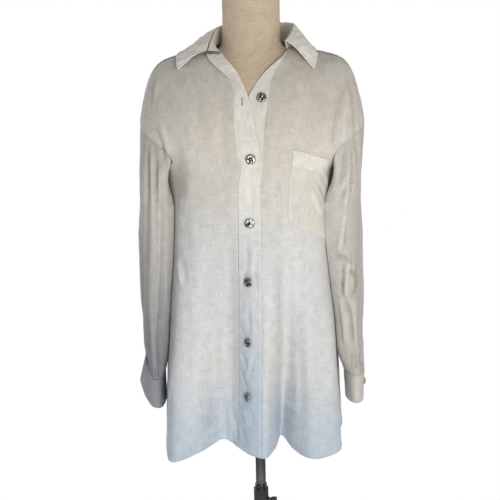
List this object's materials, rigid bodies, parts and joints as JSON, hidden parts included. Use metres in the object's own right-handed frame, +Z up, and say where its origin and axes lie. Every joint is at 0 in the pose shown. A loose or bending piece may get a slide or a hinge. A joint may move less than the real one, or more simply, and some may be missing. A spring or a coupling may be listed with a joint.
{
  "type": "linen shirt on dress form",
  "caption": "Loose long-sleeved collared shirt of thin linen with chest pocket and domed metal buttons, worn open-necked by a limbless dress form on a telescopic pole stand.",
  "frame": {"origin": "middle of the base plate's underside, on the pole's axis", "axes": "+Z up along the pole; the shirt's front faces -Y; its wearer's left is +X"},
  "size_m": [0.4206, 0.32, 1.5073],
  "materials": {
    "linen": "thin off-white plain-weave linen, matte, slightly see-through",
    "silver": "hammered silver-coloured metal, satin with dark recesses",
    "form_linen": "beige linen cover stretched smooth, matte",
    "dark_chrome": "dark polished metal",
    "black_plastic": "black, satin",
    "varnished_wood": "varnished"
  },
  "bodies": {
    "base": {"base_plate": "dark_chrome", "pole_lower": "dark_chrome", "clamp": "dark_chrome"},
    "mast": {"pole_upper": "dark_chrome"},
    "clamp_knob": {"clamp_screw": "black_plastic"},
    "figure": {"dress_form": "form_linen", "neck_cap": "varnished_wood", "front_right": "linen", "front_left": "linen", "band_right": "linen", "band_right_turned": "linen", "band_left": "linen", "back": "linen", "yoke": "linen", "sleeve_right": "linen", "sleeve_left": "linen", "cuff_right": "linen", "cuff_left": "linen", "collar_stand": "linen", "collar": "linen", "pocket": "linen", "button_1": "silver", "button_2": "silver", "button_3": "silver", "button_4": "silver", "button_5": "silver", "button_6": "silver", "cuff_button_left": "silver", "cuff_button_right": "silver"}
  },
  "joints": [
    {"name": "height", "type": "slide", "parent": "base", "child": "mast", "axis": [0, 0, 1], "range_m": [-0.1, 0.15]},
    {"name": "form_turn", "type": "hinge", "parent": "mast", "child": "figure", "pos_m": [0, 0, 0.85], "axis": [0, 0, 1], "continuous": true},
    {"name": "clamp_turn", "type": "hinge", "parent": "base", "child": "clamp_knob", "pos_m": [0.017, 0, 0.541], "axis": [1, 0, 0], "range_deg": [0, 180]}
  ]
}
